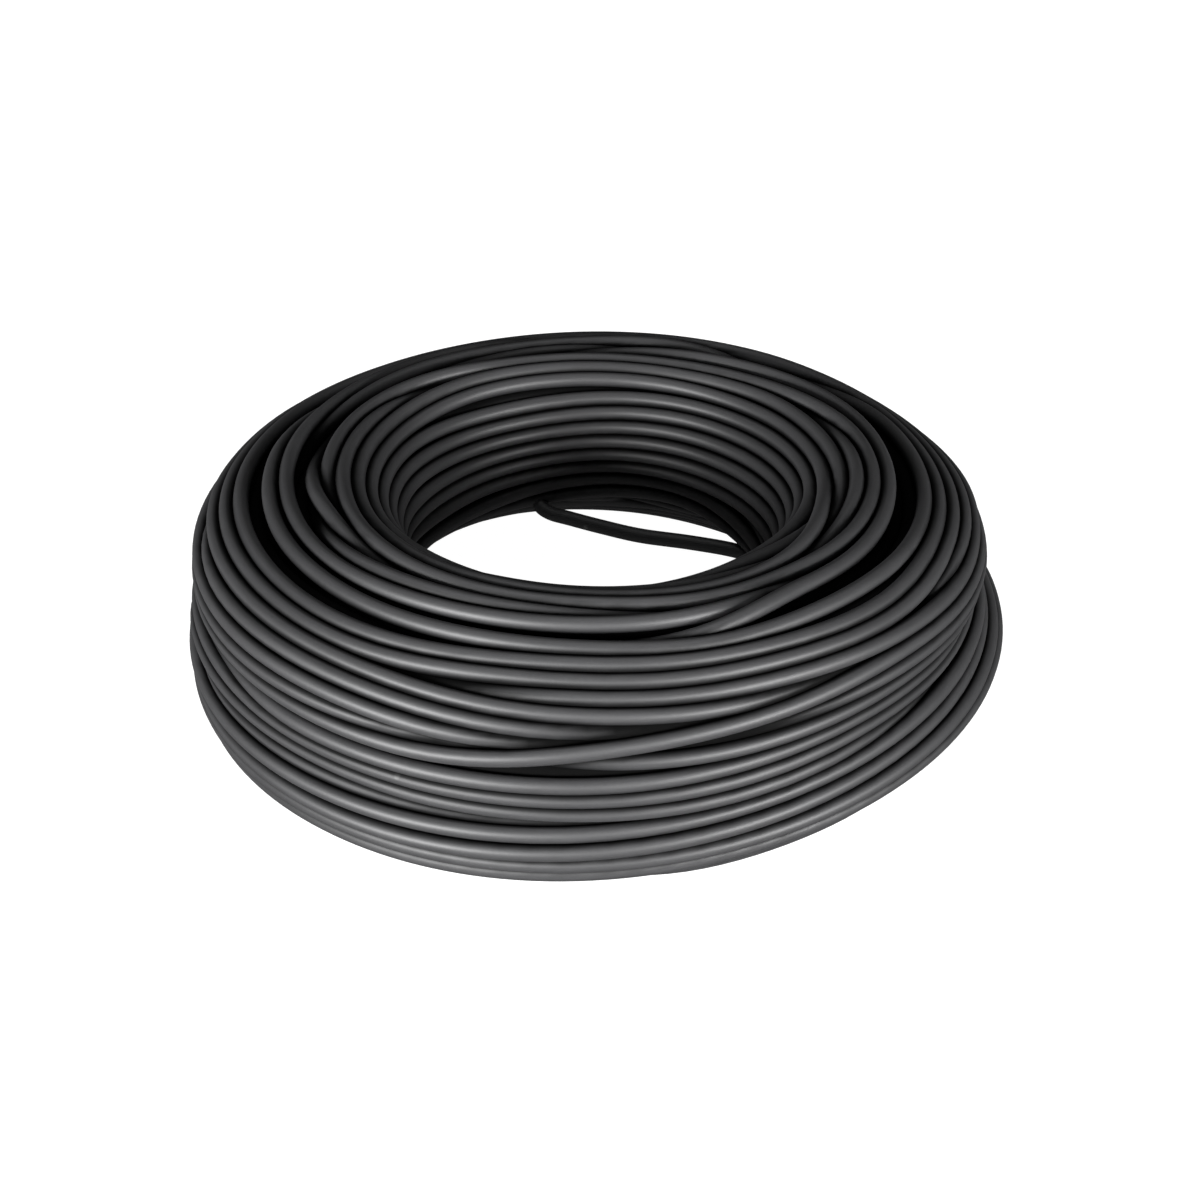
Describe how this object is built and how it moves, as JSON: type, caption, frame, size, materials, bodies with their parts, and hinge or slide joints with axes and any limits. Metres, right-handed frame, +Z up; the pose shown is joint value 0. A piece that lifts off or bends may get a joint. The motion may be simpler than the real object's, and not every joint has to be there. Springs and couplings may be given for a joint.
{
  "type": "electrical wire coil",
  "caption": "Coil of black insulated building wire, wound in a ring that lies flat, with the wire's inner end crossing the bore.",
  "frame": {"origin": "centre of the rectangle that the coil covers, slack turns included, at the level it rests on", "axes": "+Z up along the ring's axis, -Y towards the viewer of the picture, +X to the viewer's right"},
  "size_m": [0.258, 0.259, 0.074],
  "materials": {
    "wire_jacket": "satin black wire insulation"
  },
  "bodies": {
    "root": {"wire_coil": "wire_jacket"}
  },
  "joints": []
}
